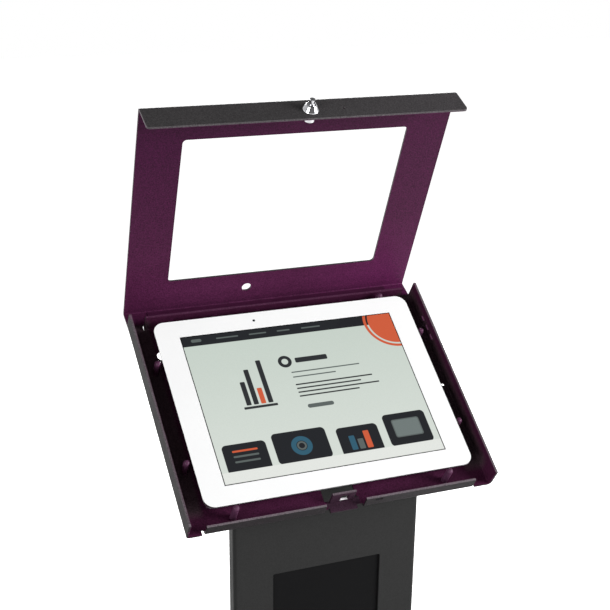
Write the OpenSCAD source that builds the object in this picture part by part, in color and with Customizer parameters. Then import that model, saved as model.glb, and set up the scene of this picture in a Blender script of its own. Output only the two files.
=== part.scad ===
// Floor stand that locks a tablet under a hinged window lid, shown with the lid open.
// Millimetres, +Z up, X to the right, the front faces -Y.
// The origin is on the floor under the middle of the stand.

/* [Stand] */
// Height of the middle of the tablet's face above the floor
glass_height = 950; // [880:5:1050]
// Distance of the middle of the tablet's face behind the middle of the foot
glass_setback = 61; // [50:1:64]
// Slope of the tray from level, in degrees
tray_tilt = 34; // [30:0.1:40]
// Angle of the open lid from shut, in degrees
lid_open_angle = 99.7; // [80:0.1:105]

/* [Foot] */
// Width of the foot plate
base_width = 360; // [340:5:420]
// Depth of the foot plate
base_depth = 350; // [348:2:400]
// Thickness of the foot plate
base_thickness = 10; // [8:1:16]
// Corner radius of the foot plate
base_corner = 20; // [10:1:40]
// Height of the rubber pads under the foot plate
pad_height = 5; // [3:0.5:10]
// Radius of the rubber pads
pad_radius = 16; // [10:1:20]
// Distance between floor anchor holes across the foot
anchor_spacing_x = 310; // [290:5:320]
// Distance between floor anchor holes along the foot
anchor_spacing_y = 300; // [280:5:310]
// Radius of the floor anchor holes
anchor_hole_radius = 5.5; // [4:0.5:7]

/* [Column] */
// Width of the column's front sheet
column_width = 172; // [160:2:200]
// Distance of the column's front sheet in front of the tablet's middle
column_front_offset = 40.6; // [30:0.2:46]
// Depth of the side returns of the front sheet
fascia_return = 12; // [10:0.5:20]
// Thickness of the column's sheet
column_sheet = 2; // [1.5:0.1:3]
// Width of the window in the front sheet
insert_window_width = 101; // [80:1:104]
// Distance from the tablet's middle down to the top of that window
insert_window_drop = 146.5; // [130:0.5:200]
// Height of the bottom of that window above the foot plate
insert_window_rise = 25; // [22:1:80]
// Thickness of the insert panel behind the window
insert_thickness = 3; // [2:0.5:5]
// Width of the duct behind the front sheet
spine_width = 112; // [104:1:114]
// Depth of that duct
spine_depth = 60; // [50:1:66]

/* [Tray] */
// Thickness of the tray and lid sheet
sheet = 2; // [1.5:0.1:2.5]
// Height of the side walls, outside
wall_height = 20.1; // [19:0.1:22]
// Distance from the tablet's side to the outside of the side wall
side_gap = 17.2; // [14:0.1:20]
// Distance from the tablet's front edge to the outside of the front flange
front_gap = 13.5; // [11:0.1:16]
// Distance from the tablet's rear edge to the outside of the rear flange
rear_gap = 9.6; // [9.5:0.1:12]
// Height of the front flange, outside
front_flange_height = 13; // [8:0.5:15]
// Height of the rear flange, outside
rear_flange_height = 18; // [16:0.2:19.4]
// Space between the tray's floor and the tablet's back
under_tablet = 8.2; // [6.5:0.1:9.5]
// Radius of the locating posts
post_radius = 2.8; // [2:0.1:3]

/* [Lid] */
// Distance from the outside of each side wall in to the lid's edge
lid_side_inset = 1.2; // [0.5:0.1:4]
// Gap between the wall tops and the shut lid
lid_gap = 1; // [0.5:0.1:2]
// Height of the lid's front flange, outside
lid_front_flange = 27; // [24:0.5:32]
// Width of the lid's window
lid_window_width = 196.8; // [180:0.2:210]
// Length of the lid's window
lid_window_length = 149.4; // [130:0.2:160]
// Distance from the lid's rear fold to the window
lid_rear_border = 33.1; // [32:0.1:40]
// Corner radius of the lid's window
lid_window_corner = 3.5; // [1:0.1:8]
// Radius of the lid's camera hole
camera_hole_radius = 4.4; // [3:0.1:6]

/* [Hinge] */
// Length of the lid hinge
hinge_length = 230; // [200:2:236]
// Number of knuckles along the hinge
hinge_knuckles = 9; // [5:2:15]
// Outside radius of the knuckles
knuckle_radius = 1.5; // [1.4:0.05:1.7]
// Radius of the hinge pin
hinge_pin_radius = 0.75; // [0.5:0.05:0.9]

/* [Lock] */
// Radius of the lock's bezel at the flange
bezel_radius = 7.2; // [6.5:0.1:9]
// Height of the lock's bezel
bezel_height = 5.2; // [4:0.1:8]
// Radius of the lock's barrel
barrel_radius = 4.5; // [4.3:0.1:4.6]
// Radius of the lock's plunger
plunger_radius = 2.4; // [2.3:0.05:2.6]
// Distance the plunger stands out of the bezel
plunger_reach = 4.4; // [3.9:0.1:6]
// Distance the plunger is pushed in to lock
plunger_travel = 3.8; // [3.2:0.1:3.8]

/* [Tablet] */
// Width of the tablet
tablet_width = 239.8; // [236:0.2:250]
// Length of the tablet up the slope
tablet_length = 184.4; // [180:0.2:190]
// Thickness of the tablet
tablet_thickness = 8.8; // [8:0.1:9.5]
// Corner radius of the tablet
tablet_corner = 10; // [6:0.5:14]
// Width of the display with its dark edge
display_width = 198.6; // [180:0.1:200]
// Length of the display with its dark edge
display_length = 149.3; // [130:0.1:150]

/* [Hidden] */
$fn = 64;

charcoal = [0.22, 0.22, 0.22];
aubergine = [0.31, 0.13, 0.25];
near_black = [0.09, 0.09, 0.09];
chrome = [0.8, 0.8, 0.82];
zinc = [0.6, 0.61, 0.62];
rubber = [0.12, 0.12, 0.12];
white = [0.95, 0.95, 0.95];
aluminium = [0.75, 0.76, 0.77];
board_green = [0.1, 0.3, 0.2];

// Clearances and the length of a cutter that passes right through
slip = 0.05;
loose = 0.1;
through = 1;

// Heights of the foot
base_top = pad_height + base_thickness;
pad_inset = 55;

// Edges that stay clear of each other where no sliding fit is needed
edge_gap = 1;

// Column, in plan
fascia_y = glass_setback - column_front_offset;
fascia_back_y = fascia_y + column_sheet;
lip_y = fascia_back_y + insert_thickness;
lip_back_y = lip_y + column_sheet;
spine_back_y = lip_y + spine_depth;
fascia_bend = column_sheet + 1;
lip_inset = 4;
lip_half = column_width / 2 - column_sheet - lip_inset;
insert_side_lap = 4;
insert_half = spine_width / 2 + insert_side_lap;
window_top = glass_height - insert_window_drop;
window_bottom = base_top + insert_window_rise;
spine_bend = column_sheet + 2;
insert_window_corner = 1.5;
insert_lap = 8;
insert_low = window_bottom - insert_lap;
insert_high = window_top + insert_lap;
rail_foot = 8;
rail_past_insert = 24;
rail_low = insert_low - rail_foot;
rail_high = insert_high + rail_past_insert;
fascia_nut_flats = 8;
fascia_nut_height = 4;
stud_x = (insert_half + lip_half) / 2;
stud_radius = 2.5;
stud_past_nut = 2;
stud_length = insert_thickness + column_sheet + fascia_nut_height + stud_past_nut;
stud_rows = 5;
stud_inset_low = 15;
stud_inset_high = 12;
stud_low = rail_low + stud_inset_low;
stud_step = (rail_high - stud_inset_high - stud_low) / (stud_rows - 1);

// Foot flange and its bolts
foot_flange_thickness = 8;
foot_flange_gap = 3;
base_bolt_side_inset = 16;
base_bolt_x = spine_width / 2 - base_bolt_side_inset;
base_bolt_radius = 4;
base_bolt_head_radius = 6.5;
base_bolt_head_height = 5;
base_bolt_recess_radius = base_bolt_head_radius + 0.5;
base_bolt_inset = 13;

// Service cover and cable gland on the back of the duct
cover_width = 84;
cover_height = 170;
cover_thickness = 1.5;
cover_corner = 4;
cover_rise = 110;
cover_low = base_top + cover_rise;
cover_lap = 10;
cover_screw_radius = 2;
cover_screw_reach = 2;
cover_screw_head_radius = 3.6;
cover_screw_head_height = 2;
cover_hex_radius = 1.4;
cover_hex_depth = 1.2;
gland_rise = 55;
gland_height = base_top + gland_rise;
gland_bore_radius = 6;
gland_sleeve_radius = 11;
gland_flange_radius = 14;
gland_flange_height = 3;
gland_lip_radius = 13;
gland_lip_height = 1.5;

// Height of the lock's axis when the lid is shut
lock_w = -11.3;

// Tray, in its own frame: the middle of the tablet's face is its origin
floor_top = -tablet_thickness - under_tablet;
floor_under = floor_top - sheet;
wall_top = floor_under + wall_height;
tray_half = tablet_width / 2 + side_gap;
tray_front = -tablet_length / 2 - front_gap;
tray_rear = tablet_length / 2 + rear_gap;
wall_past_flange = 2.8;
wall_rear = tray_rear + wall_past_flange;
wall_bend = sheet + 2;
flange_bend = sheet + 1;
wall_corner = 0.6;
relief = 2.4;
relief_depth = 4.6;
rear_slit = 0.6;
rear_slit_depth = 2.6;
front_corner_width = 17.3;
rear_corner_width = 14.2;
front_flange_half = tray_half - front_corner_width;
rear_flange_half = tray_half - rear_corner_width;
front_shift = -1.4;
lock_gap_half = 17.8;
tongue_half = 12;
tongue_reach = 0.7;
tab_half = 10.6;
tab_setback = 7.8;
tab_front = tray_front + tab_setback;
tab_top = -3.8;
lance_half = 14.5;
lance_length = 17;
keeper_width = 7.2;
keeper_height = 7.4;
keeper_lift = 0.4;
keeper_w = lock_w + keeper_lift;
pin_hole_u = 28.5;
front_slot_length = 6.4;
front_slot_height = 2.4;
front_slot_w = -9.4;
pin_hole_radius = 1.5;
cable_hole_side_inset = 24.1;
cable_hole_rear_inset = 32;
cable_hole_u = cable_hole_side_inset - tray_half;
cable_hole_v = tray_rear - cable_hole_rear_inset;
cable_hole_radius = 5.2;
side_hole_radius = 1.6;
side_hole_u = tray_half - wall_bend - side_hole_radius;
side_hole_v = 0.5;
button_slot_pitch = 10.8;
button_slot_rear_inset = 32;
button_slot_last = tray_rear - button_slot_rear_inset;
button_slots = [for (step = [0 : 2]) button_slot_last - step * button_slot_pitch];
button_slot_length = 6;
button_slot_height = 2.5;
button_slot_w = -9;
duct_hole_radius = 18;
duct_hole_v = -10;

// Posts and pads that locate the tablet
post_side_gap = 1;
post_end_gap = 0.3;
post_end_top = 1.6;
post_length_inset = 40.2;
post_width_inset = 24.6;
post_front_step = 4.8;
post_rear_step = 1.8;
post_v = tablet_length / 2 - post_length_inset;
post_u = tablet_width / 2 - post_width_inset;
post_side = tablet_width / 2 + post_side_gap + post_radius;
post_end = tablet_length / 2 + post_end_gap + post_radius;
rest_pad_size = 24;
rest_pad_width_inset = 30.6;
rest_pad_length_inset = 27.85;
rest_pad_u = tablet_width / 2 - rest_pad_width_inset;
rest_pad_v = tablet_length / 2 - rest_pad_length_inset;

// Head plate between the tray and the column
head_plate_thickness = 3;
head_under = floor_under - head_plate_thickness;
head_side_inset = 4;
head_half = column_width / 2 - head_side_inset;
head_past_fascia = 1.6;
fascia_at_head = (fascia_y - glass_setback + head_under * sin(tray_tilt)) / cos(tray_tilt);
head_front = fascia_at_head - head_past_fascia;
head_rear = 45;
head_screw_side = 11;
head_screw_u = spine_width / 2 + head_screw_side;
head_screw_v = [-25, 30];
head_screw_radius = 3;
head_screw_head_radius = 6;
head_screw_head_height = 3.5;
head_screw_past_nut = 2;
head_hex_radius = 2.3;
head_hex_depth = 2;
head_nut_flats = 10;
head_nut_height = 5;

// Hinge line behind the rear flange
hinge_clear = 0.3;
hinge_v = tray_rear + knuckle_radius + hinge_clear;
hinge_rise = 2.9;
hinge_w = floor_under + hinge_rise;
leaf_thickness = 1;
leaf_start = hinge_w + knuckle_radius + hinge_clear;
knuckle_pitch = hinge_length / hinge_knuckles;
rivet_radius = 1.5;
rivet_head_radius = 2.5;
rivet_head_height = 0.4;
rivet_pitch = hinge_length * 4 / 23;
tray_rivets = [for (place = [-2.5 : 2.5]) place * rivet_pitch];
lid_rivets = [for (place = [-2 : 2]) place * rivet_pitch];
tray_rivet_rise = 10.2;
lid_rivet_rise = 12.2;
tray_rivet_w = floor_under + tray_rivet_rise;
lid_rivet_w = floor_under + lid_rivet_rise;

// Lid, as it lies when shut
lid_under = wall_top + lid_gap;
lid_over = lid_under + sheet;
lid_half = tray_half - lid_side_inset;
lid_rear_in = hinge_v + knuckle_radius + hinge_clear;
lid_rear_out = lid_rear_in + sheet;
lid_front_gap = 0.6;
lid_front_in = tray_front - tongue_reach - lid_front_gap;
lid_front_out = lid_front_in - sheet;
lid_bend = sheet + 1;
lid_flange_rise = 2.2;
lid_rear_low = hinge_w + lid_flange_rise;
lid_front_low = lid_over - lid_front_flange;
lid_flange_corner = 3;
lid_window_rear = lid_rear_in - lid_rear_border;
lid_window_v = lid_window_rear - lid_window_length / 2;
camera_hole_u = -23.9;
camera_hole_inset = 17.1;
camera_hole_v = lid_rear_in - camera_hole_inset;

// Lock: depths run inward from the outside of the lid's front flange
bezel_tip_radius = 3.8;
barrel_past_sheet = 8;
barrel_depth = sheet + barrel_past_sheet;
collar_width = 0.55;
collar_radius = plunger_radius + collar_width;
collar_length = 1.5;
chamber_gap = 0.2;
chamber_radius = collar_radius + chamber_gap;
chamber_start = -1;
chamber_spare = 1.2;
chamber_end = chamber_start + collar_length + plunger_travel + chamber_spare;
plunger_tip = -bezel_height - plunger_reach;
plunger_end = barrel_depth - chamber_gap;
lock_clip_width = 1;
lock_clip_radius = barrel_radius + lock_clip_width;
lock_clip_thickness = 1;
plug_radius = 1.8;
plug_length = 5;
key_slot_width = 0.7;
key_slot_length = 2.6;
key_slot_depth = 4;

// Tablet
front_thickness = 1;
shell_floor = 1;
shell_rim = 0.5;
shell_taper = tablet_thickness - front_thickness - shell_rim;
shell_wall = 3.5;
pocket_depth = 2.3;
well_wall = 9;
well_corner = 3;
display_top = -0.05;
display_back_margin = (tablet_length - display_length) / 10;
display_back_thickness = 2;
lens_u = -29.4;
lens_from = display_length / 2 + display_back_margin;
lens_to = tablet_length / 2 - shell_wall;
lens_v = (lens_from + lens_to) / 2;
lens_radius = 1.2;
lens_flange_radius = 1.5;
lens_flange_height = 1;
button_height = 1.8;
button_w = -3.2;
button_inset = 0.4;
button_depth = 3.6;
button_slot_depth = 5.2;
rocker_inset = 30.85;
rocker_v = tablet_length / 2 - rocker_inset;
rocker_length = 13;
power_inset = 50.6;
power_u = tablet_width / 2 - power_inset;
power_length = 9;
battery_height = 3.2;
battery_size = [tablet_width * 0.62, tablet_length * 0.7, battery_height];
battery_u = tablet_width * 0.12;
board_height = 2;
board_size = [tablet_width * 0.2, tablet_length * 0.65, board_height];
board_u = -tablet_width * 0.35;

// Places the tray's frame on the column
module head_frame() {
  translate([0, glass_setback, glass_height])
    rotate([tray_tilt, 0, 0])
      children();
}

// Turns what is drawn as shut about the hinge line to the open lid
module lid_frame_open() {
  head_frame()
    translate([0, hinge_v, hinge_w])
      rotate([-lid_open_angle, 0, 0])
        translate([0, -hinge_v, -hinge_w])
          children();
}

// Lock axis on the lid: local +Z runs inward from the outside of the flange
module lock_frame() {
  lid_frame_open()
    translate([0, lid_front_out, lock_w])
      rotate([-90, 0, 0])
        children();
}

// Flat outline with round corners
module round_outline(width, length, corner) {
  square([width - 2 * corner, length], center = true);
  square([width, length - 2 * corner], center = true);
  for (x = [-1, 1], y = [-1, 1])
    translate([x * (width / 2 - corner), y * (length / 2 - corner)])
      circle(corner);
}

// Quarter ring of a sheet bend, in the quadrant where both coordinates are below zero
module bend_ring(outer, thickness) {
  difference() {
    intersection() {
      circle(outer);
      translate([-outer, -outer]) square(outer);
    }
    circle(outer - thickness);
  }
}

// Bar along X with its section drawn as depth and height
module along_x(start, length) {
  translate([start, 0, 0])
    rotate([90, 0, 90])
      linear_extrude(length)
        children();
}

// Bar along the slope with its section drawn as width and height
module along_v(start, end) {
  translate([0, end, 0])
    rotate([90, 0, 0])
      linear_extrude(end - start)
        children();
}

// Round cutter or peg along Y, in the frame where it is drawn
module rod_y(x, z, start, end, radius) {
  translate([x, start, z])
    rotate([-90, 0, 0])
      cylinder(h = end - start, r = radius);
}

// Hexagonal nut standing on its seat
module hex_nut(flats, height, bore) {
  difference() {
    rotate(30)
      cylinder(h = height, r = flats / sqrt(3), $fn = 6);
    translate([0, 0, -through])
      cylinder(h = height + 2 * through, r = bore);
  }
}

// Everything above the underside of the head plate, to trim the column's top
module above_head_plate() {
  head_frame()
    translate([-column_width, -column_width * 2, head_under])
      cube([column_width * 2, column_width * 4, column_width]);
}

module base_bolt_places() {
  for (x = [-1, 1], y = [lip_back_y + base_bolt_inset, spine_back_y - column_sheet - base_bolt_inset])
    translate([x * base_bolt_x, y, 0])
      children();
}

module base_plate() {
  color(charcoal)
    difference() {
      translate([0, 0, pad_height])
        linear_extrude(base_thickness)
          round_outline(base_width, base_depth, base_corner);
      for (x = [-1, 1], y = [-1, 1])
        translate([x * anchor_spacing_x / 2, y * anchor_spacing_y / 2, pad_height - through])
          cylinder(h = base_thickness + 2 * through, r = anchor_hole_radius);
      base_bolt_places() {
        translate([0, 0, pad_height - through])
          cylinder(h = base_thickness + 2 * through, r = base_bolt_radius + slip);
        translate([0, 0, pad_height - through])
          cylinder(h = base_bolt_head_height + through, r = base_bolt_recess_radius);
      }
    }
}

module base_pads() {
  color(rubber)
    for (x = [-1, 1], y = [-1, 1])
      translate([x * (base_width / 2 - pad_inset), y * (base_depth / 2 - pad_inset), 0])
        cylinder(h = pad_height, r = pad_radius);
}

module base_bolts() {
  color(zinc)
    base_bolt_places()
      translate([0, 0, pad_height]) {
        cylinder(h = base_bolt_head_height, r = base_bolt_head_radius);
        cylinder(h = base_thickness + foot_flange_thickness - edge_gap, r = base_bolt_radius);
      }
}

module foot_flange() {
  inner_half = spine_width / 2 - column_sheet;
  color(zinc)
    difference() {
      translate([-inner_half, lip_back_y, base_top])
        cube([2 * inner_half, spine_depth - 2 * column_sheet - foot_flange_gap, foot_flange_thickness]);
      base_bolt_places()
        translate([0, 0, base_top - through])
          cylinder(h = foot_flange_thickness + 2 * through, r = base_bolt_radius + slip);
    }
}

// Half of the duct's hat section, on the +X side
module spine_half_section() {
  side = spine_width / 2;
  translate([side - column_sheet, lip_y])
    square([lip_half - side + column_sheet, column_sheet]);
  translate([side - column_sheet, lip_y])
    square([column_sheet, spine_depth - spine_bend]);
  translate([side - spine_bend, spine_back_y - spine_bend])
    rotate(180)
      bend_ring(spine_bend, column_sheet);
  translate([0, spine_back_y - column_sheet])
    square([side - spine_bend, column_sheet]);
}

module stud_places() {
  for (x = [-1, 1], row = [0 : stud_rows - 1])
    translate([x * stud_x, 0, stud_low + row * stud_step])
      children();
}

module stud_holes() {
  stud_places()
    rod_y(0, 0, fascia_back_y, lip_back_y + through, stud_radius + loose);
}

module cover_screw_places() {
  side = cover_width / 2 - cover_lap / 2;
  for (x = [-1, 1], z = [cover_low + cover_lap / 2, cover_low + cover_height - cover_lap / 2])
    translate([x * side, 0, z])
      children();
}

module column_spine() {
  color(charcoal)
    difference() {
      translate([0, 0, base_top])
        linear_extrude(glass_height - base_top) {
          spine_half_section();
          mirror([1, 0]) spine_half_section();
        }
      above_head_plate();
      stud_holes();
      rod_y(0, gland_height, spine_back_y - column_sheet - through, spine_back_y + through,
        gland_sleeve_radius + slip);
      translate([0, spine_back_y, cover_low + cover_height / 2])
        cube([cover_width - 2 * cover_lap, 4 * column_sheet, cover_height - 2 * cover_lap],
          center = true);
      cover_screw_places()
        rod_y(0, 0, spine_back_y - column_sheet - through, spine_back_y + through,
          cover_screw_radius + slip);
    }
}

// Half of the fascia's section, on the +X side
module fascia_half_section() {
  side = column_width / 2;
  translate([0, fascia_y])
    square([side - fascia_bend, column_sheet]);
  translate([side - fascia_bend, fascia_y + fascia_bend])
    rotate(90)
      bend_ring(fascia_bend, column_sheet);
  translate([side - column_sheet, fascia_y + fascia_bend])
    square([column_sheet, fascia_return - fascia_bend]);
}

module column_fascia() {
  window_height = window_top - window_bottom;
  color(charcoal) {
    difference() {
      translate([0, 0, base_top])
        linear_extrude(glass_height - base_top) {
          fascia_half_section();
          mirror([1, 0]) fascia_half_section();
        }
      above_head_plate();
      translate([0, fascia_y, window_bottom + window_height / 2])
        rotate([90, 0, 0])
          linear_extrude(6 * column_sheet, center = true)
            round_outline(insert_window_width, window_height, insert_window_corner);
    }
    stud_places()
      rod_y(0, 0, fascia_back_y, fascia_back_y + stud_length, stud_radius);
  }
}

module insert_rails() {
  color(zinc)
    difference() {
      translate([0, fascia_back_y, 0]) {
        for (x = [-lip_half, insert_half + loose])
          translate([x, 0, rail_low])
            cube([lip_half - insert_half - loose, insert_thickness, rail_high - rail_low]);
        translate([-lip_half, 0, rail_low])
          cube([2 * lip_half, insert_thickness, insert_low - rail_low]);
      }
      stud_places()
        rod_y(0, 0, fascia_back_y - through, lip_y + through, stud_radius + loose);
    }
}

module insert_panel() {
  color(near_black)
    translate([-insert_half, fascia_back_y, insert_low])
      cube([2 * insert_half, insert_thickness - loose, insert_high - insert_low]);
}

module fascia_nuts() {
  color(zinc)
    stud_places()
      translate([0, lip_back_y, 0])
        rotate([-90, 0, 0])
          hex_nut(fascia_nut_flats, fascia_nut_height, stud_radius + slip);
}

module service_cover() {
  color(charcoal)
    difference() {
      translate([0, spine_back_y + cover_thickness, cover_low + cover_height / 2])
        rotate([90, 0, 0])
          linear_extrude(cover_thickness)
            round_outline(cover_width, cover_height, cover_corner);
      cover_screw_places()
        rod_y(0, 0, spine_back_y - through, spine_back_y + cover_thickness + through,
          cover_screw_radius + slip);
    }
}

module cover_screws() {
  seat = spine_back_y + cover_thickness;
  color(zinc)
    cover_screw_places()
      difference() {
        union() {
          rod_y(0, 0, seat, seat + cover_screw_head_height, cover_screw_head_radius);
          rod_y(0, 0, spine_back_y - column_sheet - cover_screw_reach, seat, cover_screw_radius);
        }
        translate([0, seat + cover_screw_head_height, 0])
          rotate([90, 0, 0])
            cylinder(h = cover_hex_depth, r = cover_hex_radius, $fn = 6);
      }
}

module cable_gland() {
  inside = spine_back_y - column_sheet;
  color(rubber)
    difference() {
      union() {
        rod_y(0, gland_height, inside - gland_lip_height, inside, gland_lip_radius);
        rod_y(0, gland_height, inside, spine_back_y, gland_sleeve_radius);
        rod_y(0, gland_height, spine_back_y, spine_back_y + gland_flange_height, gland_flange_radius);
      }
      rod_y(0, gland_height, inside - gland_lip_height - through,
        spine_back_y + gland_flange_height + through, gland_bore_radius);
    }
}

module head_screw_places() {
  for (u = [-1, 1], v = head_screw_v)
    translate([u * head_screw_u, v, 0])
      children();
}

module head_plate() {
  color(charcoal)
    head_frame()
      difference() {
        translate([-head_half, head_front, head_under])
          cube([2 * head_half, head_rear - head_front, head_plate_thickness]);
        translate([0, duct_hole_v, head_under - through])
          cylinder(h = head_plate_thickness + 2 * through, r = duct_hole_radius);
        head_screw_places()
          translate([0, 0, head_under - through])
            cylinder(h = head_plate_thickness + 2 * through, r = head_screw_radius + loose);
      }
}

module head_screws() {
  head_screw_low = head_under - head_nut_height - head_screw_past_nut;
  color(zinc)
    head_frame()
      head_screw_places()
        difference() {
          union() {
            translate([0, 0, floor_top])
              cylinder(h = head_screw_head_height, r = head_screw_head_radius);
            translate([0, 0, head_screw_low])
              cylinder(h = floor_top - head_screw_low, r = head_screw_radius);
          }
          translate([0, 0, floor_top + head_screw_head_height - head_hex_depth])
            cylinder(h = head_hex_depth + through, r = head_hex_radius, $fn = 6);
        }
}

module head_nuts() {
  color(zinc)
    head_frame()
      head_screw_places()
        translate([0, 0, head_under - head_nut_height])
          hex_nut(head_nut_flats, head_nut_height, head_screw_radius + slip);
}

// Side wall with its bend, on the +X side
module wall_section() {
  translate([tray_half - wall_bend, floor_under + wall_bend])
    rotate(90)
      bend_ring(wall_bend, sheet);
  translate([tray_half - sheet, floor_under + wall_bend])
    square([sheet, wall_height - wall_bend]);
}

// Front flange with its bend, as depth and height
module front_flange_section() {
  translate([tray_front + flange_bend, floor_under + flange_bend])
    bend_ring(flange_bend, sheet);
  translate([tray_front, floor_under + flange_bend])
    square([sheet, front_flange_height - flange_bend]);
}

// Rear flange with its bend, as depth and height
module rear_flange_section() {
  translate([tray_rear - flange_bend, floor_under + flange_bend])
    rotate(90)
      bend_ring(flange_bend, sheet);
  translate([tray_rear - sheet, floor_under + flange_bend])
    square([sheet, rear_flange_height - flange_bend]);
}

// Floor with its corner tabs, lock tongue, relief notches and holes
module floor_outline() {
  flat_half = tray_half - wall_bend;
  flat_front = tray_front + flange_bend;
  flat_rear = tray_rear - flange_bend;
  front_tab = front_flange_half + relief;
  rear_tab = rear_flange_half + rear_slit;
  difference() {
    union() {
      translate([-flat_half, flat_front])
        square([2 * flat_half, flat_rear - flat_front]);
      translate([-flat_half, tray_front])
        square([flat_half - front_tab + front_shift, flange_bend]);
      translate([front_tab + front_shift, tray_front])
        square([flat_half - front_tab - front_shift, flange_bend]);
      for (side = [0, 1])
        mirror([side, 0])
          translate([rear_tab, flat_rear])
            square([flat_half - rear_tab, wall_rear - flat_rear]);
      translate([front_shift - tongue_half, tray_front - tongue_reach])
        square([2 * tongue_half, tongue_reach + flange_bend]);
    }
    for (side = [-1, 1]) {
      translate([front_shift + side * (front_tab - relief / 2), tray_front + relief_depth - relief / 2])
        circle(relief / 2);
      translate([front_shift + side * (front_tab - relief / 2) - relief / 2, tray_front])
        square([relief, relief_depth - relief / 2]);
      translate([side * (rear_tab - rear_slit / 2) - rear_slit / 2, tray_rear - rear_slit_depth])
        square([rear_slit, rear_slit_depth + through]);
    }
    translate([front_shift - lance_half, tab_front + sheet])
      square([2 * lance_half, lance_length]);
    translate([cable_hole_u, cable_hole_v]) circle(cable_hole_radius);
    translate([side_hole_u, side_hole_v]) circle(side_hole_radius);
    translate([0, duct_hole_v]) circle(duct_hole_radius);
    head_screw_places() circle(head_screw_radius + loose);
  }
}

module tray() {
  color(aubergine)
    head_frame()
      difference() {
        union() {
          translate([0, 0, floor_under])
            linear_extrude(sheet)
              floor_outline();
          along_v(tray_front, wall_rear) {
            wall_section();
            mirror([1, 0]) wall_section();
          }
          along_x(front_shift - front_flange_half, front_flange_half - lock_gap_half)
            front_flange_section();
          along_x(front_shift + lock_gap_half, front_flange_half - lock_gap_half)
            front_flange_section();
          along_x(-rear_flange_half, 2 * rear_flange_half)
            rear_flange_section();
          translate([front_shift - tab_half, tab_front, floor_under])
            cube([2 * tab_half, sheet, tab_top - floor_under]);
        }
        for (side = [-1, 1])
          translate([side * tray_half, wall_rear, wall_top])
            rotate([0, 90, 0])
              difference() {
                cube([2 * wall_corner, 2 * wall_corner, 3 * wall_bend], center = true);
                translate([wall_corner, -wall_corner, 0])
                  cylinder(h = 4 * wall_bend, r = wall_corner, center = true);
              }
        translate([-keeper_width / 2, tab_front - through, keeper_w - keeper_height / 2])
          cube([keeper_width, sheet + 2 * through, keeper_height]);
        translate([pin_hole_u, tray_front + sheet / 2, front_slot_w])
          cube([front_slot_length, 3 * sheet, front_slot_height], center = true);
        for (v = button_slots)
          translate([tray_half - sheet / 2, v, button_slot_w])
            cube([3 * sheet, button_slot_length, button_slot_height], center = true);
        for (u = tray_rivets)
          rod_y(u, tray_rivet_w, tray_rear - sheet - through, tray_rear + through, rivet_radius + slip);
      }
}

// Round-headed post that stands on the tray's floor
module post(top) {
  shank = top - floor_top - post_radius;
  translate([0, 0, floor_top])
    cylinder(h = shank, r = post_radius);
  translate([0, 0, top - post_radius])
    sphere(post_radius);
}

module locating_posts() {
  color(aubergine)
    head_frame() {
      for (a = [-1, 1]) {
        translate([a * post_side, post_v, 0]) post(0);
        translate([a * post_side, post_front_step - post_v, 0]) post(0);
        translate([a * post_u, -post_end, 0]) post(post_end_top);
      }
      translate([post_u + post_rear_step, post_end, 0]) post(post_end_top);
    }
}

module rest_pads() {
  color(rubber)
    head_frame()
      for (a = [-1, 1], b = [-1, 1])
        translate([a * rest_pad_u, b * rest_pad_v, floor_top + under_tablet / 2])
          cube([rest_pad_size, rest_pad_size, under_tablet], center = true);
}

// Start of one knuckle along the hinge
function knuckle_start(index) = -hinge_length / 2 + index * knuckle_pitch;

// Hinge leaf: a plate that carries every second knuckle
module hinge_leaf(first, plate_front, plate_top, rivets, rivet_w) {
  gap = hinge_clear / 2;
  difference() {
    union() {
      translate([-hinge_length / 2, plate_front, leaf_start])
        cube([hinge_length, leaf_thickness, plate_top - leaf_start]);
      for (index = [first : 2 : hinge_knuckles - 1]) {
        start = knuckle_start(index) + gap;
        length = knuckle_pitch - 2 * gap;
        translate([start, plate_front, hinge_w])
          cube([length, leaf_thickness, leaf_start - hinge_w]);
        along_x(start, length)
          translate([hinge_v, hinge_w])
            circle(knuckle_radius);
      }
    }
    along_x(-hinge_length / 2 - through, hinge_length + 2 * through)
      translate([hinge_v, hinge_w])
        circle(hinge_pin_radius + slip);
    for (u = rivets)
      rod_y(u, rivet_w, plate_front - through, plate_front + leaf_thickness + through,
        rivet_radius + slip);
  }
}

module hinge_leaf_tray() {
  leaf_top = floor_under + rear_flange_height - edge_gap;
  color(aubergine)
    head_frame()
      hinge_leaf(0, tray_rear, leaf_top, tray_rivets, tray_rivet_w);
}

module hinge_leaf_lid() {
  leaf_top = lid_under - 2 * edge_gap;
  color(aubergine)
    lid_frame_open()
      hinge_leaf(1, lid_rear_in - leaf_thickness, leaf_top, lid_rivets, lid_rivet_w);
}

module hinge_pin() {
  color(aubergine)
    head_frame()
      along_x(-hinge_length / 2, hinge_length)
        translate([hinge_v, hinge_w])
          circle(hinge_pin_radius);
}

module hinge_rivets_tray() {
  inside = tray_rear - sheet;
  color(aubergine)
    head_frame()
      for (u = tray_rivets) {
        rod_y(u, tray_rivet_w, inside - rivet_head_height, inside, rivet_head_radius);
        rod_y(u, tray_rivet_w, inside, tray_rear + leaf_thickness - loose, rivet_radius);
      }
}

module hinge_rivets_lid() {
  inside = lid_rear_in - leaf_thickness;
  color(charcoal)
    lid_frame_open()
      for (u = lid_rivets) {
        rod_y(u, lid_rivet_w, lid_rear_out, lid_rear_out + rivet_head_height, rivet_head_radius);
        rod_y(u, lid_rivet_w, inside + loose, lid_rear_out, rivet_radius);
      }
}

// Lid's front flange, as width and height
module lid_front_outline() {
  low = lid_front_low + lid_flange_corner;
  translate([-lid_half, low])
    square([2 * lid_half, lid_over - lid_bend - low]);
  translate([-lid_half + lid_flange_corner, lid_front_low])
    square([2 * (lid_half - lid_flange_corner), lid_flange_corner]);
  for (side = [-1, 1])
    translate([side * (lid_half - lid_flange_corner), low])
      circle(lid_flange_corner);
}

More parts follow.
